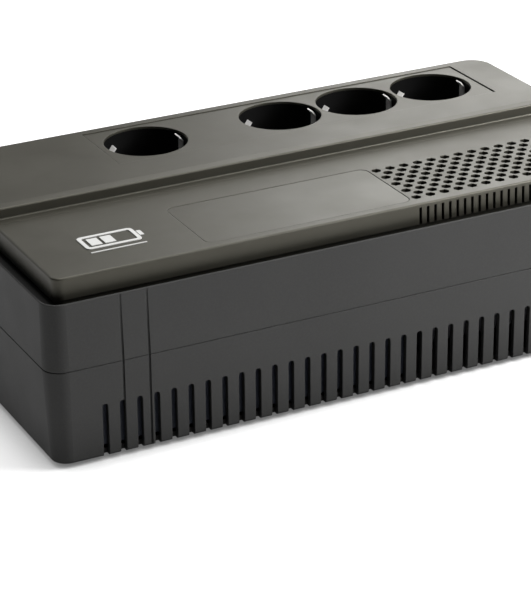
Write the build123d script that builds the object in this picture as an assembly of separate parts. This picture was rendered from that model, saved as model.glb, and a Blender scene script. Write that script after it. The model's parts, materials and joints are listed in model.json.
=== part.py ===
from build123d import *
import math
import os

# A desktop uninterruptible power supply with four earthed outlets in its raised rear deck.
# Millimetres. X runs along the long side, Y from the plain front to the outlet side, Z up.
# The origin is under the middle of the case, on the surface that its feet stand on.

# Case
LENGTH = 305.0
WIDTH = 161.0
HEIGHT = 92.0
FOOT = 2.0                  # the feet hold the case this far off the table
WALL = 2.5
SEAM_Z = 46.0               # joint between the lower and the upper shell
SEAM_BEVEL = 0.35
RIM_Z = 77.0                # free edge of the upper shell
CORNER = 9.0                # plan radius of the case at the seam
TUB_DRAFT = 1.55            # the tub is this much smaller all round at its foot than at the seam
RIM_DRAFT = 0.45
FLOOR_TOP = FOOT + WALL
LEDGE_TOP = 72.8
LEDGE_THICK = 1.8
LEDGE_INSET = 11.8          # the ledge under the cover reaches this far in from the case's side
RIM_INSET = 1.25            # inner side of the thin rim around the cover
FIT_GAP = 0.3
OVERCUT = 1.0               # cutting shapes run this far past the faces that they open
GROOVE_X = (-118.9, -106.7) # fine upright grooves in the front face
GROOVE_WIDTH = 1.0
GROOVE_DEPTH = 0.6

# Top cover
COVER_INSET = 6.9
COVER_WALL = 2.2
LIP_Z = 76.0                # lower edge of the cover's lip, above the shadow gap
DECK_Z = 86.0               # front deck
STEP_Y = -0.2               # riser between the front deck and the raised rear deck
EASE_WIDTH = 4.5            # both decks ease off beside the riser, over this width
EASE_DROP = 0.5
NECK_FOOT = LEDGE_TOP + 0.05

# Vents
SLOT_PITCH = 8.06
SLOT_COUNT = 33
SLOT_FIRST_X = -128.0
SLOT_WIDTH = 2.8
SLOT_TOP = 27.4
HOLE_PITCH_X = 7.2
HOLE_PITCH_Y = 4.69
HOLE_ROWS = 9
HOLE_FIRST = (31.3, -28.2)
HOLE_RADIUS = 2.4
LIP_SLOT_PITCH = 3.78
LIP_SLOT_COUNT = 29
LIP_SLOT_FIRST_X = 29.2
LIP_SLOT_WIDTH = 1.3
LIP_SLOT_TOP = 84.1
BADGE = (-107.6, -43.4)     # middle of the cell symbol on the front deck
LABEL_X = (-72.7, 28.0)
LABEL_Y = (-69.0, -23.0)

# Outlets
OUTLET_X = (-50.7, 19.4, 60.7, 101.9)
OUTLET_Y = 46.5
OUTLET_RADIUS = 19.85
PANEL_X = (-73.3, 124.9)
PANEL_Y = (23.9, 68.3)
PANEL_TOP = 91.6
PANEL_THICK = 1.2
PANEL_GAP = 0.12            # fine joint along the outlet panel's sides
PANEL_END_GAP = 0.6         # wider joint at its two ends
RECESS_DEPTH = 17.9
PIN_OFFSET = 9.5
PIN_HOLE = 2.5
BLOCK_MARGIN = 1.55         # wall outside each outlet recess
FLOOR_THICK = 2.0
SHUTTER_TRAVEL = 6.0
CLIP_LEG = 17.9             # the earth clip's upright legs, from the outlet's middle
CLIP_TIP = 15.95            # the tips bend inwards to here
CLIP_WIDTH = 4.4
CLIP_THICK = 0.6
SCREW_EAR_TOP = 82.5
SCREW_EAR_REACH = 4.2       # screw ears stand out this far from the outlet mouldings
BOSS_RADIUS = 3.0           # bosses that the outlet screws go up into
BOSS_BORE = 1.3

# Right end
BUTTON_Y, BUTTON_Z = -38.0, 61.0
BUTTON_RADIUS = 8.0
BUTTON_TRAVEL = 1.5
BAY_X = 144.0               # floor of the service recess
BREAKER_Y, GLAND_Y, BAY_Z = 14.0, 46.0, 60.0
EARTH_Y, EARTH_Z = 30.5, 55.5

# Inside
POST = (136.0, 64.0)        # case screw posts
BATTERY_X = (-129.0, 22.0)
BATTERY_Y = (-74.5, 19.5)
BATTERY_Z = (5.5, 70.5)
CORE_X, CORE_Y = 80.0, -34.0
CORE_Z = (8.0, 78.0)
BOARD_X = (-122.0, 122.0)
BOARD_Y = (29.0, 75.0)
BOARD_Z = (10.0, 11.6)
BOARD_FIXINGS = [(x, y) for x in (-116.0, 0.0, 116.0) for y in (33.0, 71.0)]
CORE_FIXINGS = [(CORE_X + x, CORE_Y + y) for x in (-47.8, 47.8) for y in (-12.0, 12.0)]
KEYHOLES = [(-90.0, 50.0), (90.0, 50.0)]
FEET = [(x, y) for x in (-116.0, 116.0) for y in (-64.0, 64.0)]
SCREW_SEAT = 20.0           # the case screws' heads sit this high in the posts

recess_floor = PANEL_TOP - RECESS_DEPTH
block_foot = recess_floor - FLOOR_THICK - 2.1
carrier_foot = block_foot - 2.2
deck_under = DECK_Z - COVER_WALL
rear_under = HEIGHT - COVER_WALL
four = [(sx, sy) for sx in (-1, 1) for sy in (-1, 1)]


def block(x, y, z):
    """Box between the low and high ends of x, y and z."""
    low, high = zip(x, y, z)
    size = [b - a for a, b in zip(low, high)]
    middle = [(a + b) / 2 for a, b in zip(low, high)]
    return Pos(*middle) * Box(*size)


def rod(radius, x, y, z):
    """Upright cylinder over the height range z."""
    return Pos(x, y, sum(z) / 2) * Cylinder(radius, z[1] - z[0])


def rod_x(radius, x, y, z):
    """Cylinder along X over the range x."""
    return Pos(sum(x) / 2, y, z) * Rot(0, 90, 0) * Cylinder(radius, x[1] - x[0])


def tube(radius, bore, x, y, z):
    return rod(radius, x, y, z) - rod(bore, x, y, z)


def outline(inset, radius, z):
    """The case's rounded plan, inset from its widest place."""
    return Pos(0, 0, z) * RectangleRounded(LENGTH - 2 * inset, WIDTH - 2 * inset, radius)


def drafted(inset_low, inset_high, z):
    """Solid between two plans whose corners stay concentric."""
    low = outline(inset_low, CORNER - inset_low, z[0])
    high = outline(inset_high, CORNER - inset_high, z[1])
    return loft([low, high], ruled=True)


def ring(inset_out, inset_in, z):
    """Wall of constant thickness that follows the case's plan."""
    outer = extrude(outline(inset_out, CORNER - inset_out * 0.6, z[0]), z[1] - z[0])
    inner = extrude(outline(inset_in, CORNER - inset_in * 0.6, z[0]), z[1] - z[0])
    return outer - inner


def save(node, shape):
    """One STEP file per node; a list becomes a group of separate solids."""
    if isinstance(shape, (list, tuple)):
        shape = Compound(children=[solid for piece in shape for solid in piece.solids()])
    shape.label = node
    export_step(shape, f"parts/{node}.step")


def face_grooves():
    """The two fine upright grooves at the left of the front face."""
    front = -WIDTH / 2
    lean = math.degrees(math.atan(TUB_DRAFT / (SEAM_Z - FOOT)))
    grooves = []
    for x in GROOVE_X:
        across = (x - GROOVE_WIDTH / 2, x + GROOVE_WIDTH / 2)
        high = block(across, (front - OVERCUT, front + GROOVE_DEPTH), (SEAM_Z - OVERCUT, RIM_Z + OVERCUT))
        low = block(across, (-OVERCUT, GROOVE_DEPTH), (0, SEAM_Z))
        low = Pos(0, front + TUB_DRAFT, FOOT) * Rot(lean, 0, 0) * Pos(0, 0, -FOOT) * low
        grooves += [high, low]
    return grooves


def wall_slots(side):
    """Vent slots through the lower part of the front (-1) or rear (1) wall, open at the foot."""
    depth = TUB_DRAFT + WALL + 0.9
    middle = side * (WIDTH / 2 - depth / 2)
    radius = SLOT_WIDTH / 2
    straight = SLOT_TOP - radius
    slots = []
    for i in range(SLOT_COUNT):
        x = SLOT_FIRST_X + SLOT_PITCH * i
        y = (middle - depth / 2, middle + depth / 2)
        shaft = block((x - radius, x + radius), y, (FOOT - OVERCUT, straight))
        crown = Pos(x, middle, straight) * Rot(90, 0, 0) * Cylinder(radius, depth)
        slots += [shaft, crown]
    return slots


def keyhole(x, y):
    """Hanging slot through the case floor: a round entry and a narrow neck towards the rear."""
    through = (FOOT - 1, FLOOR_TOP + 1)
    neck = block((x - 2.25, x + 2.25), (y, y + 9.0), through)
    return rod(4.25, x, y, through) + neck + rod(2.25, x, y + 9.0, through)


def lower_case():
    outer = drafted(TUB_DRAFT, 0, (FOOT, SEAM_Z - SEAM_BEVEL))
    outer = fillet(outer.edges().group_by(Axis.Z)[0], 1.6)
    outer += drafted(0, SEAM_BEVEL, (SEAM_Z - SEAM_BEVEL, SEAM_Z))
    tub = outer - drafted(TUB_DRAFT + WALL, WALL, (FLOOR_TOP, SEAM_Z))
    tub -= wall_slots(-1) + wall_slots(1)
    tub -= face_grooves()
    for sx, sy in four:
        tub += rod(5.25, sx * POST[0], sy * POST[1], (FLOOR_TOP - 0.5, SEAM_Z))
        tub -= rod(3.8, sx * POST[0], sy * POST[1], (FOOT - 1, SCREW_SEAT))
        tub -= rod(2.0, sx * POST[0], sy * POST[1], (SCREW_SEAT - 1, SEAM_Z + 1))
    for x, y in BOARD_FIXINGS:
        tub += tube(3.5, 1.3, x, y, (FLOOR_TOP - 0.2, BOARD_Z[0]))
    for x, y in CORE_FIXINGS:
        tub += tube(4.5, 1.8, x, y, (FLOOR_TOP - 0.2, CORE_Z[0] - 2.0))
    tub += battery_ribs()
    tub -= [keyhole(x, y) for x, y in KEYHOLES]
    for x, y in FEET:
        tub -= rod(7.2, x, y, (FOOT - 1, FOOT + 1.0))
        tub -= rod(2.1, x, y, (FOOT, FLOOR_TOP + 1))
    tub -= block((-42, 42), (-34, 6), (FOOT - 1, FOOT + 0.5))
    return tub


def battery_ribs():
    """Low ribs on the case floor that keep the battery in its place."""
    gap = 2.2
    height = (FLOOR_TOP - 0.2, 18.0)
    ribs = []
    for y in (-44.0, -5.0):
        ribs.append(block((BATTERY_X[0] - gap - 2, BATTERY_X[0] - gap), (y - 12, y + 12), height))
        ribs.append(block((BATTERY_X[1] + gap, BATTERY_X[1] + gap + 2), (y - 12, y + 12), height))
    for x in (-85.0, -20.0):
        ribs.append(block((x - 12, x + 12), (BATTERY_Y[1] + gap, BATTERY_Y[1] + gap + 2), height))
    return ribs


def upper_case():
    outer = drafted(0, RIM_DRAFT, (SEAM_Z + SEAM_BEVEL, RIM_Z))
    outer = fillet(outer.edges().group_by(Axis.Z)[-1], 0.5)
    outer += drafted(SEAM_BEVEL, 0, (SEAM_Z, SEAM_Z + SEAM_BEVEL))
    shell = outer - drafted(WALL, WALL + RIM_DRAFT, (SEAM_Z, LEDGE_TOP))
    shell -= drafted(WALL, RIM_INSET, (LEDGE_TOP, RIM_Z))
    shell += ring(WALL - 0.2, LEDGE_INSET, (LEDGE_TOP - LEDGE_THICK, LEDGE_TOP))
    shell += ring(WALL + 0.25, WALL + 1.45, (SEAM_Z - 3.0, SEAM_Z + 2.0))
    shell += ring(WALL - 0.2, WALL + 1.45, (SEAM_Z + 1.0, SEAM_Z + 2.5))
    for sx, sy in four:
        corner = (LENGTH / 2 - 9, WIDTH / 2 - 9)
        pad_x = sorted((sx * (POST[0] - 4), sx * corner[0]))
        pad_y = sorted((sy * (POST[1] - 4), sy * corner[1]))
        shell += block(pad_x, pad_y, (LEDGE_TOP - LEDGE_THICK, LEDGE_TOP))
        shell += rod(4.5, sx * POST[0], sy * POST[1], (SEAM_Z, LEDGE_TOP - 0.5))
        shell -= rod(2.0, sx * POST[0], sy * POST[1], (SEAM_Z - 1, LEDGE_TOP + 1))
    shell -= face_grooves()
    shell += block((BAY_X - WALL, LENGTH / 2 - 1.0), (-2.0, 62.0), (48.0, LEDGE_TOP - 1))
    shell -= block((BAY_X, LENGTH / 2 + 1), (0.5, 59.5), (50.5, 69.5))
    shell -= rod_x(4.9, (BAY_X - 4, BAY_X + 1), BREAKER_Y, BAY_Z)
    shell -= rod_x(7.0, (BAY_X - 4, BAY_X + 1), GLAND_Y, BAY_Z)
    shell -= rod_x(2.1, (BAY_X - 4, BAY_X + 1), EARTH_Y, EARTH_Z)
    shell += rod_x(11.2, (143.0, LENGTH / 2 - 2.0), BUTTON_Y, BUTTON_Z)
    shell -= rod_x(BUTTON_RADIUS + 1.75, (142.0, LENGTH / 2 - WALL - 0.3), BUTTON_Y, BUTTON_Z)
    shell -= rod_x(11.0, (LENGTH / 2 - 1.4, LENGTH / 2 + 1), BUTTON_Y, BUTTON_Z)
    shell -= rod_x(BUTTON_RADIUS + FIT_GAP, (140, LENGTH / 2), BUTTON_Y, BUTTON_Z)
    shell -= rod_x(1.6, (140, LENGTH / 2 + 1), BUTTON_Y + 17, BUTTON_Z)
    return shell


def cover_plan(inset, z, height):
    """The cover's plan with tight front corners and wide rear corners."""
    half_x = LENGTH / 2 - COVER_INSET - inset
    half_y = WIDTH / 2 - COVER_INSET - inset
    slab = block((-half_x, half_x), (-half_y, half_y), (z, z + height))
    upright = slab.edges().filter_by(Axis.Z)
    slab = fillet(upright.group_by(Axis.Y)[-1], max(11.0 - inset, 1.0))
    upright = slab.edges().filter_by(Axis.Z).group_by(Axis.Y)[0]
    return fillet(upright, max(4.5 - inset, 1.0))


def vent_holes():
    """Staggered field of six-sided holes over the transformer."""
    holes = []
    for row in range(HOLE_ROWS):
        offset = row % 2
        for i in range(15 - offset):
            x = HOLE_FIRST[0] + HOLE_PITCH_X * (i + offset / 2)
            y = HOLE_FIRST[1] - HOLE_PITCH_Y * row
            holes.append(Pos(x, y) * RegularPolygon(HOLE_RADIUS, 6))
    return extrude(Pos(0, 0, deck_under - 1) * Sketch(children=holes), COVER_WALL + 2)


def lip_slots():
    """Fine upright slots in the cover's lip, in front of the hole field."""
    front = -WIDTH / 2 + COVER_INSET
    slots = []
    for i in range(LIP_SLOT_COUNT):
        x = LIP_SLOT_FIRST_X + LIP_SLOT_PITCH * i
        slots.append(block((x - LIP_SLOT_WIDTH / 2, x + LIP_SLOT_WIDTH / 2),
                           (front - 1, front + 2 * COVER_WALL + 0.2), (LIP_Z - 1, LIP_SLOT_TOP)))
    return slots


def label_recess(inset, z, height):
    """Shallow rounded field for the blank inlay on the front deck."""
    x = (LABEL_X[0] + inset, LABEL_X[1] - inset)
    y = (LABEL_Y[0] + inset, LABEL_Y[1] - inset)
    plate = block(x, y, (z, z + height))
    return fillet(plate.edges().filter_by(Axis.Z), 4.5 - inset)


def top_cover():
    low = cover_plan(0, LIP_Z, DECK_Z - LIP_Z)
    high = cover_plan(0, DECK_Z - 1, HEIGHT - DECK_Z + 1)
    high &= block((-LENGTH, LENGTH), (STEP_Y, WIDTH), (0, HEIGHT + 1))
    body = low + high
    rear_deck = body.faces().filter_by(Axis.Z).sort_by(Axis.Z)[-1]
    body = chamfer(riser_edge(body, HEIGHT), EASE_WIDTH, EASE_DROP, reference=rear_deck)
    front_deck = body.faces().filter_by(Axis.Z).filter_by_position(Axis.Z, DECK_Z - 0.1, DECK_Z + 0.1)[0]
    body = chamfer(riser_edge(body, DECK_Z), EASE_WIDTH, EASE_DROP, reference=front_deck)
    body = fillet(riser_edge(body, HEIGHT - EASE_DROP), 0.9)
    body = fillet(riser_edge(body, DECK_Z + EASE_DROP), 0.7)
    rims = [e for e in body.edges() if e.center().Z > DECK_Z - 0.01 and on_rim(e)]
    body = fillet(rims, 1.0)
    cavity = cover_plan(2 * COVER_WALL, NECK_FOOT - 1, deck_under - NECK_FOOT + 1)
    rear = cover_plan(COVER_WALL, deck_under - 1, rear_under - deck_under + 1)
    rear &= block((-LENGTH, LENGTH), (STEP_Y + COVER_WALL, WIDTH), (0, HEIGHT))
    body += cover_plan(COVER_WALL, NECK_FOOT, DECK_Z - NECK_FOOT - 1)
    body -= cavity
    body -= rear
    body -= vent_holes()
    body -= lip_slots()
    body -= label_recess(0, DECK_Z - 0.5, 2.0)
    body -= panel_opening(rear_under - OVERCUT)
    for sx, sy in four:
        under = deck_under if sy < 0 else rear_under
        body += rod(4.5, sx * POST[0], sy * POST[1], (NECK_FOOT, under + 0.5))
        body -= rod(1.8, sx * POST[0], sy * POST[1], (NECK_FOOT - 1, 82.0))
    for x in (outlet_screw_places()[0], outlet_screw_places()[-1]):
        boss = tube(BOSS_RADIUS, BOSS_BORE, x, OUTLET_Y, (SCREW_EAR_TOP + 0.1, rear_under + 0.2))
        body += boss - panel_opening(rear_under)
    return body


def riser_edge(body, z):
    """The long edge of the riser at height z."""
    long_edges = body.edges().filter_by(Axis.X)
    return [e for e in long_edges if abs(e.center().Z - z) < 0.01 and abs(e.center().Y - STEP_Y) < 0.01]


def on_rim(edge):
    """True for edges along the outside of the cover's top faces."""
    middle = edge.center()
    near_x = abs(middle.X) > LENGTH / 2 - COVER_INSET - 5
    near_y = abs(middle.Y) > WIDTH / 2 - COVER_INSET - 5
    level = max(v.Z for v in edge.vertices()) - min(v.Z for v in edge.vertices())
    return (near_x or near_y) and (level < 0.01 or abs(middle.Y - STEP_Y) < 6)


def panel_opening(foot):
    """Space that the outlet panel and its joint take up in the cover, from height foot up."""
    x = (PANEL_X[0] - PANEL_END_GAP, PANEL_X[1] + PANEL_END_GAP)
    y = (PANEL_Y[0] - PANEL_GAP, PANEL_Y[1] + PANEL_GAP)
    return block(x, y, (foot, HEIGHT + OVERCUT))


def outlet_panel():
    under = PANEL_TOP - PANEL_THICK
    panel = block(PANEL_X, PANEL_Y, (under, PANEL_TOP))
    panel -= [rod(OUTLET_RADIUS, x, OUTLET_Y, (80, 100)) for x in OUTLET_X]
    for x in outlet_screw_places()[1:3]:
        boss = rod(BOSS_RADIUS, x, OUTLET_Y, (SCREW_EAR_TOP + 0.1, under))
        panel += boss - rod(BOSS_BORE, x, OUTLET_Y, (SCREW_EAR_TOP, under - 0.2))
    return panel


def outlet_screw_places():
    reach = OUTLET_RADIUS + BLOCK_MARGIN + SCREW_EAR_REACH
    return (OUTLET_X[0] - reach, OUTLET_X[0] + reach, OUTLET_X[1] - reach, OUTLET_X[3] + reach)


def socket_block(places):
    """Black outlet moulding under the panel, with one round recess for each place."""
    reach = OUTLET_RADIUS + BLOCK_MARGIN
    top = PANEL_TOP - PANEL_THICK
    across = (OUTLET_Y - reach, OUTLET_Y + reach)
    body = block((places[0] - reach, places[-1] + reach), across, (block_foot, top))
    ear_y = (OUTLET_Y - SCREW_EAR_REACH, OUTLET_Y + SCREW_EAR_REACH)
    ear_z = (SCREW_EAR_TOP - 2.5, SCREW_EAR_TOP)
    for x in (places[0] - reach - SCREW_EAR_REACH, places[-1] + reach + SCREW_EAR_REACH):
        inwards = SCREW_EAR_REACH + 0.2 if x < places[0] else -SCREW_EAR_REACH - 0.2
        ear = rod(SCREW_EAR_REACH, x, OUTLET_Y, ear_z) + block(sorted((x, x + inwards)), ear_y, ear_z)
        body += ear - rod(1.7, x, OUTLET_Y, (ear_z[0] - OVERCUT, ear_z[1] + OVERCUT))
    for x in places:
        body -= rod(OUTLET_RADIUS, x, OUTLET_Y, (recess_floor, top + 1))
        for side in (-1, 1):
            body -= rod(PIN_HOLE, x, OUTLET_Y + side * PIN_OFFSET, (block_foot - 1, recess_floor + 1))
            clip_x = sorted((x + side * 17.1, x + side * 18.7))
            body -= block(clip_x, (OUTLET_Y - 2.6, OUTLET_Y + 2.6), (block_foot - 1, recess_floor + 1))
        pocket_z = (block_foot - OVERCUT, recess_floor - FLOOR_THICK)
        body -= block((x - 10.5, x + 10.5), (OUTLET_Y - 13.8, OUTLET_Y + 13.8), pocket_z)
    return body


def shutter(x):
    """Sliding plate that covers both pin holes of an outlet until a plug pushes it aside."""
    y = OUTLET_Y
    z = (block_foot + 0.25, recess_floor - FLOOR_THICK - 0.25)
    plate = block((x - 4.2, x + 9.9), (y - 13.5, y + 13.5), z)
    for side in (-1, 1):
        plate -= rod(PIN_HOLE + 0.1, x + SHUTTER_TRAVEL, y + side * PIN_OFFSET, (z[0] - 1, z[1] + 1))
    return plate


def contact_carrier(places):
    """Plate under an outlet moulding that holds the pin contacts and closes the shutter pockets."""
    y = OUTLET_Y
    through = (carrier_foot - OVERCUT, block_foot + OVERCUT)
    plate = block((places[0] - 16.4, places[-1] + 16.4), (y - 17.0, y + 17.0), (carrier_foot, block_foot))
    for x in places:
        for side in (-1, 1):
            plate -= rod(4.05, x, y + side * PIN_OFFSET, through)
    for x, following in zip(places, places[1:]):
        for leg in (x + CLIP_LEG, following - CLIP_LEG):
            plate -= block((leg - 1.6, leg + 1.6), (y - 3.0, y + 3.0), through)
    return plate


def pin_contacts():
    """Brass sleeve under each pin hole."""
    sleeves = []
    for x in OUTLET_X:
        for side in (-1, 1):
            sleeves.append(tube(4.0, 2.4, x, OUTLET_Y + side * PIN_OFFSET, (53.0, block_foot - 0.05)))
    return sleeves


def earth_clip(x):
    """Sprung earth strip: a flat foot under the carrier and a finger up each side of the recess."""
    foot_z = carrier_foot - 0.7
    right = [(CLIP_LEG, foot_z), (CLIP_LEG, 89.2), (CLIP_TIP, PANEL_TOP + 0.1)]
    left = [(-a, b) for a, b in reversed(right)]
    points = [(x + a, OUTLET_Y, b) for a, b in left + right]
    path = FilletPolyline(*points, radius=1.0)
    start = Plane(origin=path @ 0, x_dir=(0, 1, 0), z_dir=path % 0)
    return sweep(start * Rectangle(CLIP_WIDTH, CLIP_THICK), path=path)


def busbar(side):
    """Brass strip that joins the pin contacts of one polarity."""
    y = OUTLET_Y + side * PIN_OFFSET
    bar = block((OUTLET_X[0] - 7, OUTLET_X[3] + 7), (y - 5.5, y + 5.5), (51.4, 52.9))
    tab_x = OUTLET_X[3] + (2 if side < 0 else -8)
    return bar + block((tab_x, tab_x + 5), (y - 3, y + 3), (44.0, 51.5))


def case_screw(sx, sy):
    """Long screw from the underside into the top cover, with a cross recess."""
    x, y = sx * POST[0], sy * POST[1]
    head = rod(3.5, x, y, (SCREW_SEAT - 2.6, SCREW_SEAT))
    shank = rod(1.75, x, y, (SCREW_SEAT, 80.0))
    cross = block((x - 2.2, x + 2.2), (y - 0.5, y + 0.5), (SCREW_SEAT - 3, SCREW_SEAT - 1.4))
    cross += block((x - 0.5, x + 0.5), (y - 2.2, y + 2.2), (SCREW_SEAT - 3, SCREW_SEAT - 1.4))
    return head + shank - cross


def screw_down(x, y, top, radius, head, length):
    """Pan-head screw whose head rests at height top and whose shank points down."""
    body = rod(head, x, y, (top, top + 1.8)) + rod(radius, x, y, (top - length, top))
    return body - block((x - head * 0.7, x + head * 0.7), (y - 0.4, y + 0.4), (top + 1.0, top + 3))


def screw_up(x, y, top, radius, head, length):
    """Pan-head screw whose head hangs under height top and whose shank points up."""
    body = rod(head, x, y, (top - 1.8, top)) + rod(radius, x, y, (top, top + length))
    return body - block((x - head * 0.7, x + head * 0.7), (y - 0.4, y + 0.4), (top - 3, top - 1.0))


def outlet_screws():
    under_ear = SCREW_EAR_TOP - 2.55
    places = outlet_screw_places()
    return [screw_up(x, OUTLET_Y, under_ear, radius=1.25, head=2.8, length=8.0) for x in places]


def transformer_screws():
    foot_top = CORE_Z[0] - 0.35
    return [screw_down(x, y, foot_top, radius=1.75, head=3.6, length=2.9) for x, y in CORE_FIXINGS]


def board_screws():
    board_top = BOARD_Z[1] + 0.05
    return [screw_down(x, y, board_top, radius=1.25, head=2.8, length=5.5) for x, y in BOARD_FIXINGS]


def rubber_foot(x, y):
    pad = rod(7.0, x, y, (0, FOOT + 0.95))
    pad = fillet(pad.edges().group_by(Axis.Z)[0], 0.8)
    stem = rod(2.0, x, y, (FOOT + 0.5, FLOOR_TOP + 0.8))
    barb = rod(3.0, x, y, (FLOOR_TOP + 0.05, FLOOR_TOP + 0.8))
    return pad + stem + barb


def power_button():
    face = LENGTH / 2 - 0.5
    cap = rod_x(BUTTON_RADIUS, (face - 7.0, face), BUTTON_Y, BUTTON_Z)
    cap = fillet(cap.edges().group_by(Axis.X)[-1], 0.8)
    cap += rod_x(BUTTON_RADIUS + 1.4, (face - 4.2, face - 2.9), BUTTON_Y, BUTTON_Z)
    cap += rod_x(2.5, (face - 11.0, face - 7.0), BUTTON_Y, BUTTON_Z)
    engraved = (face - 0.3, face + OVERCUT)
    ring_mark = rod_x(3.6, engraved, BUTTON_Y, BUTTON_Z) - rod_x(2.8, engraved, BUTTON_Y, BUTTON_Z)
    gate = block((face - 1, face + 2), (BUTTON_Y - 0.9, BUTTON_Y + 0.9), (BUTTON_Z + 1, BUTTON_Z + 5))
    bar = block(engraved, (BUTTON_Y - 0.35, BUTTON_Y + 0.35), (BUTTON_Z + 1.0, BUTTON_Z + 4.2))
    return cap - (ring_mark - gate) - bar


def button_board():
    x = LENGTH / 2 - 19.5
    return block((x, x + 1.6), (BUTTON_Y - 14, BUTTON_Y + 24), (BUTTON_Z - 11, BUTTON_Z + 8))


def button_switch():
    x = LENGTH / 2 - 17.9
    body = block((x, x + 4.0), (BUTTON_Y - 3, BUTTON_Y + 3), (BUTTON_Z - 3, BUTTON_Z + 3))
    return body + rod_x(1.7, (x + 4.0, x + 4.6), BUTTON_Y, BUTTON_Z)


def status_light():
    """Clear light guide from the indicator on the button board to the end face."""
    y = BUTTON_Y + 17
    guide = rod_x(1.5, (LENGTH / 2 - 17.8, LENGTH / 2 - 0.4), y, BUTTON_Z)
    return guide + rod_x(2.6, (LENGTH / 2 - 6.5, LENGTH / 2 - 4.6), y, BUTTON_Z)


def breaker_body():
    body = block((BAY_X - 30, BAY_X - 5.0), (BREAKER_Y - 9, BREAKER_Y + 9), (BAY_Z - 8, BAY_Z + 8))
    neck = rod_x(4.7, (BAY_X - 5.0, BAY_X + 3.4), BREAKER_Y, BAY_Z)
    collar = rod_x(7.0, (BAY_X - 5.0, BAY_X - WALL - 0.1), BREAKER_Y, BAY_Z)
    for side in (-1, 1):
        y = BREAKER_Y + side * 4.5
        body += block((BAY_X - 38, BAY_X - 30), (y - 0.4, y + 0.4), (BAY_Z - 3.1, BAY_Z + 3.1))
    return body + neck + collar - rod_x(3.3, (BAY_X - 14, BAY_X + 4), BREAKER_Y, BAY_Z)


def hex_nut(radius, bore, x, y, z):
    """Six-sided nut whose axis runs along X, over the range x."""
    nut = extrude(RegularPolygon(radius, 6), (x[1] - x[0]) / 2, both=True)
    return Pos(sum(x) / 2, y, z) * Rot(0, 90, 0) * nut - rod_x(bore, (x[0] - 1, x[1] + 1), y, z)


def breaker_nut():
    return hex_nut(7.2, 4.8, (BAY_X + 0.15, BAY_X + 2.35), BREAKER_Y, BAY_Z)


def breaker_button():
    """Reset plunger: it stands out of the collar when the breaker has tripped."""
    button = rod_x(3.2, (BAY_X - 9, BAY_X + 4.6), BREAKER_Y, BAY_Z)
    return fillet(button.edges().group_by(Axis.X)[-1], 0.9)


def cord_gland():
    """Bushing that the mains cord leaves through, with a flange outside and a thread inside."""
    flange = rod_x(9.0, (BAY_X + 0.05, BAY_X + 3.0), GLAND_Y, BAY_Z)
    flange = fillet(flange.edges().group_by(Axis.X)[-1], 1.0)
    body = flange + rod_x(6.9, (BAY_X - 9, BAY_X + 1), GLAND_Y, BAY_Z)
    return body - rod_x(3.8, (BAY_X - 10, BAY_X + 4), GLAND_Y, BAY_Z)


def gland_nut():
    return hex_nut(10.5, 7.0, (BAY_X - WALL - 4.4, BAY_X - WALL - 0.2), GLAND_Y, BAY_Z)


def earth_stud():
    """Earthing screw in the service recess."""
    stud = rod_x(2.0, (BAY_X - 8, BAY_X + 0.05), EARTH_Y, EARTH_Z)
    head = rod_x(3.6, (BAY_X + 0.05, BAY_X + 2.2), EARTH_Y, EARTH_Z)
    slot = block((BAY_X + 1.2, BAY_X + 3), (EARTH_Y - 3, EARTH_Y + 3), (EARTH_Z - 0.5, EARTH_Z + 0.5))
    return stud + head - slot


def battery():
    body = block(BATTERY_X, (BATTERY_Y[0], BATTERY_Y[1] - 7), BATTERY_Z)
    lid = block((BATTERY_X[0] + 0.6, BATTERY_X[1] - 0.6), (BATTERY_Y[1] - 7, BATTERY_Y[1]),
                (BATTERY_Z[0] + 0.6, BATTERY_Z[1] - 0.6))
    body = fillet(body.edges().filter_by(Axis.Y), 2.5) + fillet(lid.edges().filter_by(Axis.Y), 2.0)
    for x in terminal_places():
        body -= block((x - 6, x + 6), (BATTERY_Y[1] - 1.5, BATTERY_Y[1] + 1), (10, 24))
    return body


def terminal_places():
    return (BATTERY_X[0] + 12, BATTERY_X[1] - 12)


def battery_terminals():
    y = BATTERY_Y[1]
    return [block((x - 2.4, x + 2.4), (y - 1.45, y + 5.0), (16.6, 17.4)) for x in terminal_places()]


def battery_pads():
    """Foam strips around the battery."""
    gap = 0.1
    top = block((-100, -8), (-60, 5), (BATTERY_Z[1] + gap, BATTERY_Z[1] + 5.0))
    front = block((-110, 0), (BATTERY_Y[0] - 1.4, BATTERY_Y[0] - gap), (46, 62))
    return [top, front]


def core():
    """Laminated core: outer frame with a middle limb."""
    stack = (CORE_Y - 22.5, CORE_Y + 22.5)
    body = block((CORE_X - 42, CORE_X + 42), stack, CORE_Z)
    for side in (-1, 1):
        window = sorted((CORE_X + side * 14, CORE_X + side * 28))
        body -= block(window, (stack[0] - 1, stack[1] + 1), (CORE_Z[0] + 14, CORE_Z[1] - 14))
    return body


def winding():
    z = (CORE_Z[0] + 16, CORE_Z[1] - 16)
    body = block((CORE_X - 26.5, CORE_X + 26.5), (CORE_Y - 35, CORE_Y + 35), z)
    body = fillet(body.edges().filter_by(Axis.Z), 7)
    return body - block((CORE_X - 15.6, CORE_X + 15.6), (CORE_Y - 24.1, CORE_Y + 24.1), (0, 90))


def bobbin():
    z = (CORE_Z[0] + 14.2, CORE_Z[1] - 14.2)
    spool = block((CORE_X - 15.4, CORE_X + 15.4), (CORE_Y - 23.9, CORE_Y + 23.9), z)
    for low in (z[0], z[1] - 1.6):
        spool += block((CORE_X - 27.5, CORE_X + 27.5), (CORE_Y - 36, CORE_Y + 36), (low, low + 1.6))
    return spool - block((CORE_X - 14.2, CORE_X + 14.2), (CORE_Y - 22.7, CORE_Y + 22.7), (0, 90))


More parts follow.
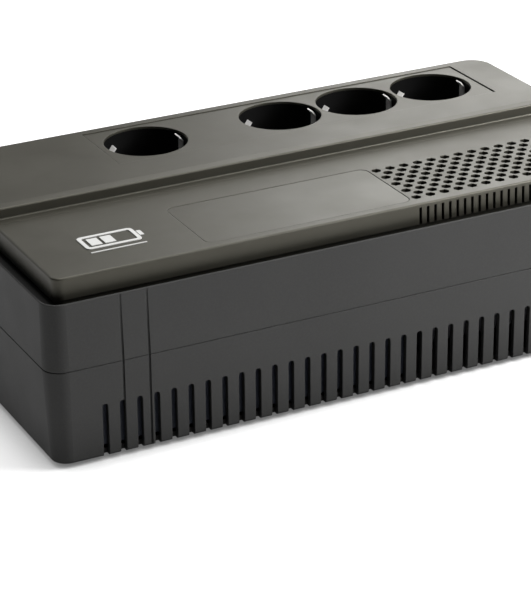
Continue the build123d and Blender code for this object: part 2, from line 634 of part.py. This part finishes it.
def core_bracket():
    """Steel strap over the core with a fixing foot at each side."""
    gap = 0.1
    z = (CORE_Z[0] - 1.9, CORE_Z[1] + gap + 1.2)
    y = (CORE_Y - 16, CORE_Y + 16)
    strap = block((CORE_X - 43.3, CORE_X + 43.3), y, z)
    strap -= block((CORE_X - 42 - gap, CORE_X + 42 + gap), (-WIDTH, WIDTH), (0, CORE_Z[1] + gap))
    for side in (-1, 1):
        foot = sorted((CORE_X + side * (42 + gap), CORE_X + side * 52.5))
        strap += block(foot, y, (CORE_Z[0] - 1.9, CORE_Z[0] - 0.4))
    return strap - [rod(2.0, x, y0, (0, 20)) for x, y0 in CORE_FIXINGS]


def main_board():
    board = block(BOARD_X, BOARD_Y, BOARD_Z)
    return board - [rod(1.6, x, y, (5, 15)) for x, y in BOARD_FIXINGS]


def on_board(x, y, height):
    """Component body standing on the main board."""
    return block(x, y, (BOARD_Z[1] + 0.05, BOARD_Z[1] + height))


def relays():
    return [on_board((x, x + 22), (41, 57), 16) for x in (-60, -34, 22, 48)]


def capacitors():
    top = BOARD_Z[1] + 0.05
    large = [rod(8.0, x, 64, (top, top + 30)) for x in (-94, -74)]
    small = [rod(4.0, x, 65, (top, top + 12)) for x in (-54, -43, -32)]
    film = [on_board((x, x + 17), (58, 65), 14) for x in (84, -5)]
    return large + small + film


def heat_sinks():
    sinks = []
    for x in (12, 50):
        body = on_board((x, x + 30), (66, 73), 34)
        for i in range(6):
            low = x + 2.2 + i * 4.6
            body -= on_board((low, low + 2.6), (69.0, 74), 40)
        sinks.append(body)
    return sinks


def transistors():
    return [on_board((x, x + 10), (61.2, 65.9), 18) for x in (15, 28, 53, 66)]


def choke():
    """Ring-core mains filter choke, standing on edge."""
    centre = Pos(98, 42, BOARD_Z[1] + 13.2)
    return centre * Rot(90, 0, 0) * (Cylinder(13, 11) - Cylinder(5.5, 12))


def varistors():
    centre_z = BOARD_Z[1] + 9.0
    return [Pos(x, 52.5, centre_z) * Rot(90, 0, 0) * Cylinder(7, 4) for x in (80, 98)]


def buzzer():
    top = BOARD_Z[1] + 0.05
    return rod(6.0, -17, 66, (top, top + 9.5)) - rod(1.2, -17, 66, (top + 6, top + 12))


def connectors():
    places = [(-110, 31.5, 12), (-88, 31.5, 16), (4.5, 31.5, 12), (30, 31.0, 18), (106, 55.0, 8)]
    return [on_board((x, x + width), (y, y + 9), 10) for x, y, width in places]


def controller():
    """Controller circuit and its quartz on the main board."""
    return [on_board((-104, -92), (44, 56), 3.2), on_board((-86, -75), (46, 51), 3.5)]


def lead(points, radii, radius):
    """Round wire along points, whose corners are rounded by radii."""
    path = FilletPolyline(*points, radius=radii)
    start = Plane(origin=path @ 0, z_dir=path % 0)
    return sweep(start * Circle(radius), path=path)


def battery_lead(x, connector_x, height):
    """Lead from a battery terminal over the board's edge to its connector."""
    y = BATTERY_Y[1] + 5.2
    out = [(x, y, 17), (x, y + 2.6, 17), (x, y + 4.0, height)]
    over = [(connector_x, 36, height), (connector_x, 36, 21.9)]
    return lead(out + over, [1.2, 2.0, 4.0], radius=1.3)


def label_inlay():
    """Blank inlay in the shallow field of the front deck."""
    return label_recess(0.35, DECK_Z - 0.45, 0.35)


def cover_badge():
    """Generic raised cell symbol on the front deck: a rounded frame, two bars, a terminal and a fine rule."""
    x, y = BADGE
    z = (DECK_Z + 0.02, DECK_Z + 0.32)
    half_x, half_y, line = 13.0, 7.2, 1.8
    frame = block((x - half_x, x + half_x), (y - half_y, y + half_y), z)
    frame = fillet(frame.edges().filter_by(Axis.Z), 2.2)
    inner = (x - half_x + line, x + half_x - line)
    hollow = block(inner, (y - half_y + line, y + half_y - line), (z[0] - OVERCUT, z[1] + OVERCUT))
    frame -= fillet(hollow.edges().filter_by(Axis.Z), 1.0)
    bars = [block((x + dx, x + dx + 5.0), (y - 3.8, y + 3.8), z) for dx in (-9.6, -3.2)]
    terminal = block((x + half_x + 0.4, x + half_x + 2.4), (y - 2.6, y + 2.6), z)
    rule = block((x - half_x, x + half_x), (y - half_y - 4.2, y - half_y - 3.4), z)
    return [frame, terminal, rule] + bars


def rating_plate():
    return block((-41.6, 41.6), (-33.6, 5.6), (FOOT + 0.1, FOOT + 0.45))


os.makedirs("parts", exist_ok=True)

save("lower_case", lower_case())
save("upper_case", upper_case())
save("top_cover", top_cover())
save("outlet_panel", outlet_panel())
save("surge_socket_block", socket_block(OUTLET_X[:1]))
save("backup_socket_block", socket_block(OUTLET_X[1:]))
save("surge_contact_carrier", contact_carrier(OUTLET_X[:1]))
save("backup_contact_carrier", contact_carrier(OUTLET_X[1:]))
for number, place in enumerate(OUTLET_X, 1):
    save(f"shutter_{number}", shutter(place))
    save(f"earth_clip_{number}", earth_clip(place))
save("pin_contacts", pin_contacts())
save("live_busbar", busbar(-1))
save("neutral_busbar", busbar(1))
save("outlet_screws", outlet_screws())
save("case_screws", [case_screw(sx, sy) for sx, sy in four])
save("rubber_feet", [rubber_foot(x, y) for x, y in FEET])
save("label_inlay", label_inlay())
save("cover_badge", cover_badge())
save("rating_plate", rating_plate())
save("power_button", power_button())
save("button_board", button_board())
save("button_switch", button_switch())
save("status_light", status_light())
save("breaker_body", breaker_body())
save("breaker_nut", breaker_nut())
save("breaker_button", breaker_button())
save("cord_gland", cord_gland())
save("gland_nut", gland_nut())
save("earth_stud", earth_stud())
save("battery", battery())
save("battery_terminals", battery_terminals())
save("battery_pads", battery_pads())
save("red_battery_lead", battery_lead(terminal_places()[0], -104, 34))
save("black_battery_lead", battery_lead(terminal_places()[1], 10.5, 30))
save("transformer_core", core())
save("transformer_winding", winding())
save("transformer_bobbin", bobbin())
save("transformer_bracket", core_bracket())
save("transformer_screws", transformer_screws())
save("main_board", main_board())
save("board_screws", board_screws())
save("relays", relays())
save("capacitors", capacitors())
save("heat_sinks", heat_sinks())
save("transistors", transistors())
save("filter_choke", choke())
save("varistors", varistors())
save("buzzer", buzzer())
save("connectors", connectors())
save("controller", controller())
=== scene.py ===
import json
import math

import bpy
from mathutils import Matrix, Vector


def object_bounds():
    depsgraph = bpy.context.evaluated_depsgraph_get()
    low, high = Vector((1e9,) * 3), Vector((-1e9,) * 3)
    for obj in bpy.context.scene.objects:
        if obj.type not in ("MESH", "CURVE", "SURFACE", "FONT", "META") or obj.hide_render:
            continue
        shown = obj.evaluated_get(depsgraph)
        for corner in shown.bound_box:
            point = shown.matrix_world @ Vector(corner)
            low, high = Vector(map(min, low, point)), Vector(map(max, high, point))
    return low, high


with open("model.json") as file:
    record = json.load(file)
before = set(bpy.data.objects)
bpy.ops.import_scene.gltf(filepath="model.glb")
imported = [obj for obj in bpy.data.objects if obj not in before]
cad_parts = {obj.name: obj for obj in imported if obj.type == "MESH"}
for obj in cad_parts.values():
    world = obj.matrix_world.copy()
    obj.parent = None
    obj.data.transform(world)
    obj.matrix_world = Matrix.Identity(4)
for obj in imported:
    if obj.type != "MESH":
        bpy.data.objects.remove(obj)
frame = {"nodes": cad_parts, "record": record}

MM = 0.001
cad_low, cad_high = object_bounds()
nodes = frame["nodes"]
slot_of = {part["node"]: part["material_slot"] for part in frame["record"]["subparts"]}
scene = bpy.context.scene


# ---------------------------------------------------------------- camera

SENSOR_WIDTH = 36           # mm, as the lens is
VIEW_REACH = 30


def make_camera(azimuth, elevation, roll, distance, aim, lens):
    """Camera at a distance from aim, azimuth degrees to the left of the front and elevation degrees up."""
    turn, rise, tilt = (math.radians(angle) for angle in (azimuth, elevation, roll))
    forward = Vector((math.sin(turn) * math.cos(rise), math.cos(turn) * math.cos(rise), -math.sin(rise)))
    right = Vector((math.cos(turn), -math.sin(turn), 0))
    level = Matrix((right, right.cross(forward), -forward)).transposed()
    data = bpy.data.cameras.new("camera")
    data.lens = lens
    data.sensor_width = SENSOR_WIDTH
    data.clip_end = VIEW_REACH
    camera = bpy.data.objects.new("camera", data)
    turned = (level @ Matrix.Rotation(tilt, 3, "Z")).to_4x4()
    camera.matrix_world = Matrix.Translation(aim - forward * distance) @ turned
    scene.collection.objects.link(camera)
    scene.camera = camera


make_camera(azimuth=25.497, elevation=23.833, roll=-1.525, distance=1.1,
            aim=Vector((-0.0578, -0.0939, 0.0660)), lens=154.95)


# ---------------------------------------------------------------- floor and light

FLOOR_SIDE = 24
FLOOR_GAP = 0.02 * MM       # keeps the floor clear of the feet's lowest faces


def make_floor():
    """Wide pale floor under the feet."""
    bpy.ops.mesh.primitive_plane_add(size=FLOOR_SIDE, location=(0, 0, cad_low.z - FLOOR_GAP))
    floor = bpy.context.object
    floor.name = "floor"
    return floor


def softbox(name, place, aim, size, power):
    """Rectangular soft light of size (width, height) at place, turned to aim."""
    data = bpy.data.lights.new(name, "AREA")
    data.shape = "RECTANGLE"
    data.size, data.size_y = size
    data.energy = power
    light = bpy.data.objects.new(name, data)
    light.location = place
    light.rotation_mode = "QUATERNION"
    light.rotation_quaternion = (Vector(aim) - Vector(place)).to_track_quat("-Z", "Y")
    scene.collection.objects.link(light)


def make_world(strength, seen):
    """Even light from all round; the camera itself sees a paler backdrop than the light it gives."""
    world = bpy.data.worlds.new("studio")
    world.use_nodes = True
    tree = world.node_tree
    tree.nodes.clear()
    path = tree.nodes.new("ShaderNodeLightPath")
    level = tree.nodes.new("ShaderNodeMapRange")
    level.inputs["To Min"].default_value = strength
    level.inputs["To Max"].default_value = seen
    background = tree.nodes.new("ShaderNodeBackground")
    output = tree.nodes.new("ShaderNodeOutputWorld")
    tree.links.new(path.outputs["Is Camera Ray"], level.inputs["Value"])
    tree.links.new(level.outputs["Result"], background.inputs["Strength"])
    tree.links.new(background.outputs["Background"], output.inputs["Surface"])
    scene.world = world


floor = make_floor()
make_world(strength=0.01, seen=1.0)
MIDDLE = (0, 0, 0.05)
FRONT_RIGHT = (0.1, -0.08, 0.05)
DECK_RIGHT = (0.15, 0, 0.09)
softbox("top_light", (0, 0, 1.7), MIDDLE, (0.7, 0.7), 18)
softbox("right_light", (0.56, -0.33, 0.42), FRONT_RIGHT, (0.4, 0.3), 12)
softbox("back_light", (0.5, 0.5, 0.8), MIDDLE, (0.5, 0.5), 4.3)
softbox("sheen_light", (0.62, 0.72, 0.44), DECK_RIGHT, (0.5, 0.4), 2.7)
softbox("left_light", (-0.4, 1.1, 0.95), MIDDLE, (0.8, 0.6), 4)
softbox("edge_light", (0.55, -0.55, 1.15), MIDDLE, (0.4, 0.4), 1.5)
scene.view_settings.view_transform = "Standard"


# ---------------------------------------------------------------- material steps

PAINTED_SHADE_RAYS = 6


class Surface:
    """Node material of one slot: a principled shader whose colour, roughness and bump are fed by steps."""

    def __init__(self, slot, metallic=0.0, specular=0.5):
        self.material = bpy.data.materials.get(slot) or bpy.data.materials.new(slot)
        self.material.use_nodes = True
        self.tree = self.material.node_tree
        self.tree.nodes.clear()
        self.shader = self.tree.nodes.new("ShaderNodeBsdfPrincipled")
        finished = self.tree.nodes.new("ShaderNodeOutputMaterial")
        self.tree.links.new(self.shader.outputs["BSDF"], finished.inputs["Surface"])
        self.shader.inputs["Metallic"].default_value = metallic
        self.shader.inputs["Specular IOR Level"].default_value = specular
        self.place = self.tree.nodes.new("ShaderNodeTexCoord").outputs["Object"]

    def link(self, output, target):
        self.tree.links.new(output, target)

    def stretched(self, stretch):
        """Place, scaled per axis, so that a pattern runs long along the small numbers."""
        mapping = self.tree.nodes.new("ShaderNodeMapping")
        mapping.inputs["Scale"].default_value = stretch
        self.link(self.place, mapping.inputs["Vector"])
        return mapping.outputs["Vector"]

    def noise(self, size, detail=2.0, stretch=None):
        """Cloudy value from 0 to 1 whose patches are about size metres across."""
        node = self.tree.nodes.new("ShaderNodeTexNoise")
        node.inputs["Scale"].default_value = 1 / size
        node.inputs["Detail"].default_value = detail
        self.link(self.stretched(stretch) if stretch else self.place, node.inputs["Vector"])
        return node.outputs["Fac"]

    def spread(self, value, low, high, start=0.0, end=1.0):
        """Value between start and end, mapped to low and high."""
        node = self.tree.nodes.new("ShaderNodeMapRange")
        node.inputs["From Min"].default_value = start
        node.inputs["From Max"].default_value = end
        node.inputs["To Min"].default_value = low
        node.inputs["To Max"].default_value = high
        self.link(value, node.inputs["Value"])
        return node.outputs["Result"]

    def tint(self, factor, first, second):
        """Colour between first and second. Each is a colour or another tint's output."""
        node = self.tree.nodes.new("ShaderNodeMix")
        node.data_type = "RGBA"
        self.link(factor, node.inputs["Factor"])
        for socket, colour in ((node.inputs["A"], first), (node.inputs["B"], second)):
            if isinstance(colour, tuple):
                socket.default_value = (*colour, 1)
            else:
                self.link(colour, socket)
        return node.outputs["Result"]

    def painted_shade(self, reach):
        """Mask for painted shade: falls from 1 on open faces to 0 deep in gaps narrower than about reach
        metres.
        """
        node = self.tree.nodes.new("ShaderNodeAmbientOcclusion")
        node.samples = PAINTED_SHADE_RAYS
        node.inputs["Distance"].default_value = reach
        return self.spread(node.outputs["AO"], 0, 1, 0.1, 0.8)

    def colour(self, output):
        self.link(output, self.shader.inputs["Base Color"])

    def roughness(self, output):
        self.link(output, self.shader.inputs["Roughness"])

    def relief(self, height, depth, round_edge=0.0):
        """Bump of depth metres from a height of 0 to 1, over edges that look rounded by round_edge metres."""
        bump = self.tree.nodes.new("ShaderNodeBump")
        bump.inputs["Distance"].default_value = depth
        self.link(height, bump.inputs["Height"])
        if round_edge:
            edge = self.tree.nodes.new("ShaderNodeBevel")
            edge.inputs["Radius"].default_value = round_edge
            self.link(edge.outputs["Normal"], bump.inputs["Normal"])
        self.link(bump.outputs["Normal"], self.shader.inputs["Normal"])


def shade(colour, factor):
    """Colour made lighter or darker."""
    return tuple(channel * factor for channel in colour)


CLOUD = 70 * MM             # slow changes of tone in a moulding
SHEEN_PATCH = 25 * MM       # slow changes of its gloss
STAIN = 6 * MM              # patches of tarnish on metal
GAP_SHADE = 0.15            # how dark painted shade makes a colour deep in a gap


def moulded(slot, colour, rough, grain=0.5 * MM, depth=0.02 * MM, round_edge=0.0, specular=0.5,
            gloss_tint=(1, 1, 1), reach=0.0):
    """Moulded plastic: fine spark-eroded grain, slow changes of tone and of gloss. Painted shade darkens it
    in gaps and towards what stands within reach metres of it."""
    surface = Surface(slot, specular=specular)
    surface.shader.inputs["Specular Tint"].default_value = (*gloss_tint, 1)
    cloud = surface.noise(CLOUD, 4)
    fleck = surface.noise(grain * 1.6, 2)
    tone = surface.tint(surface.spread(cloud, 0, 1, 0.3, 0.7), shade(colour, 0.93), shade(colour, 1.07))
    grain_and_painted_shade = surface.tint(surface.spread(fleck, 0, 0.35, 0.35, 0.75), tone, shade(colour, 1.35))
    if reach:
        # painted shade: the colour darkens towards GAP_SHADE in gaps and near whatever stands within reach
        grain_and_painted_shade = surface.tint(surface.painted_shade(reach), shade(colour, GAP_SHADE), grain_and_painted_shade)
    surface.colour(grain_and_painted_shade)
    surface.roughness(surface.spread(surface.noise(SHEEN_PATCH, 3), rough - 0.035, rough + 0.035, 0.3, 0.7))
    surface.relief(surface.noise(grain, 3), depth, round_edge)
    return surface


def metal(slot, colour, rough, brushed=(1, 1, 1), grain=0.4 * MM, depth=0.006 * MM, tarnish=0.8):
    """Metal with drawn or stamped marks that run along the axis with the small number in brushed."""
    surface = Surface(slot, metallic=1.0)
    marks = surface.noise(grain, 3, brushed)
    patch = surface.noise(STAIN, 4)
    surface.colour(surface.tint(surface.spread(patch, 0, 1, 0.4, 0.7), colour, shade(colour, tarnish)))
    surface.roughness(surface.spread(marks, rough - 0.08, rough + 0.12, 0.3, 0.7))
    surface.relief(marks, depth)
    return surface


# ---------------------------------------------------------------- materials

COVER_GREY = (0.0125, 0.0116, 0.0082)
COVER_GLOSS = (1.0, 0.965, 0.82)
CASE_GREY = (0.0345, 0.0344, 0.0338)

surfaces = [
    # the case's 45 mm reach paints shade down its walls towards the floor as well as in gaps; the cover's 12
    # mm reach paints shade in its gaps
    moulded("case_plastic", CASE_GREY, 0.5, round_edge=0.35 * MM, specular=0.07, reach=45 * MM),
    moulded("cover_plastic", COVER_GREY, 0.5, round_edge=0.45 * MM, specular=0.62,
            gloss_tint=COVER_GLOSS, reach=12 * MM),
    # near-black socket plastic, darker than black plastic is, so that the wells look shaded: partly its own
    # black, partly painted shade
    moulded("socket_plastic", (0.002, 0.002, 0.002), 0.65, specular=0.05),
    moulded("inner_plastic", (0.02, 0.02, 0.021), 0.5),
    metal("spring_steel", (0.9, 0.89, 0.87), 0.6, (1, 1, 0.1)),
    metal("brass", (0.72, 0.5, 0.22), 0.3, (0.1, 1, 1)),
    metal("steel", (0.24, 0.24, 0.25), 0.55),
    moulded("rubber", (0.012, 0.012, 0.012), 0.75, 0.8 * MM, 0.04 * MM),
    moulded("inlay_film", COVER_GREY, 0.47, 0.3 * MM, 0.006 * MM, specular=0.62, gloss_tint=COVER_GLOSS),
    moulded("badge_print", (0.4, 0.4, 0.39), 0.5, 0.25 * MM, 0.008 * MM),
    moulded("plate_film", (0.55, 0.55, 0.54), 0.4, 0.3 * MM, 0.006 * MM),
    moulded("button_plastic", (0.03, 0.03, 0.03), 0.35, 0.4 * MM, 0.01 * MM, 0.3 * MM),
    moulded("circuit_board", (0.02, 0.12, 0.05), 0.38, 0.8 * MM, 0.02 * MM),
    moulded("light_guide", (0.25, 0.6, 0.32), 0.15, 0.6 * MM, 0.003 * MM),
    moulded("reset_plastic", (0.012, 0.012, 0.012), 0.4, 0.4 * MM, 0.01 * MM),
    moulded("battery_plastic", (0.03, 0.035, 0.05), 0.4, 0.7 * MM, 0.02 * MM),
    moulded("foam", (0.06, 0.06, 0.06), 0.95, 1.2 * MM, 0.3 * MM),
    moulded("red_wire", (0.4, 0.02, 0.015), 0.4, 0.5 * MM, 0.01 * MM),
    moulded("black_wire", (0.012, 0.012, 0.012), 0.4, 0.5 * MM, 0.01 * MM),
    metal("core_steel", (0.09, 0.09, 0.1), 0.6, (1, 1, 8)),
    metal("copper_winding", (0.42, 0.16, 0.07), 0.45, (0.2, 1, 1)),
    moulded("relay_plastic", (0.02, 0.05, 0.16), 0.35, 0.5 * MM, 0.01 * MM),
    moulded("capacitor_sleeve", (0.015, 0.02, 0.05), 0.3, 0.5 * MM, 0.006 * MM),
    metal("aluminium", (0.4, 0.4, 0.41), 0.5, (1, 1, 0.1)),
    moulded("ferrite", (0.03, 0.03, 0.032), 0.6, 0.5 * MM, 0.04 * MM),
    moulded("varistor_coating", (0.02, 0.09, 0.3), 0.4, 0.6 * MM, 0.02 * MM),
    moulded("connector_plastic", (0.6, 0.57, 0.48), 0.45, 0.5 * MM, 0.01 * MM),
]
made = {surface.material.name: surface.material for surface in surfaces}


PAPER = (0.5, 0.5, 0.5)
PAPER_FIBRE = (0.54, 0.54, 0.54)
PAPER_PAINTED_SHADOW = (0.12, 0.12, 0.12)
PAPER_GLOW = 1.05
PAINTED_SHADOW_REACH = 22 * MM


def pale_paper():
    """Backlit white sweep: faint fibre, a little light of its own and a painted contact shadow."""
    surface = Surface("floor_paper", specular=0.1)
    paper = surface.tint(surface.noise(0.6 * MM, 2), PAPER, PAPER_FIBRE)
    # painted contact shadow: the floor's colour and glow darken near the object's foot
    paper = surface.tint(surface.painted_shade(PAINTED_SHADOW_REACH), PAPER_PAINTED_SHADOW, paper)
    surface.colour(paper)
    surface.link(paper, surface.shader.inputs["Emission Color"])
    surface.shader.inputs["Roughness"].default_value = 0.9
    surface.shader.inputs["Emission Strength"].default_value = PAPER_GLOW
    return surface.material


floor.data.materials.append(pale_paper())


def dress_nodes():
    """Gives each CAD node the material of its slot."""
    for name, part in nodes.items():
        for slot in part.material_slots:
            slot.material = made[slot_of[name]]


dress_nodes()
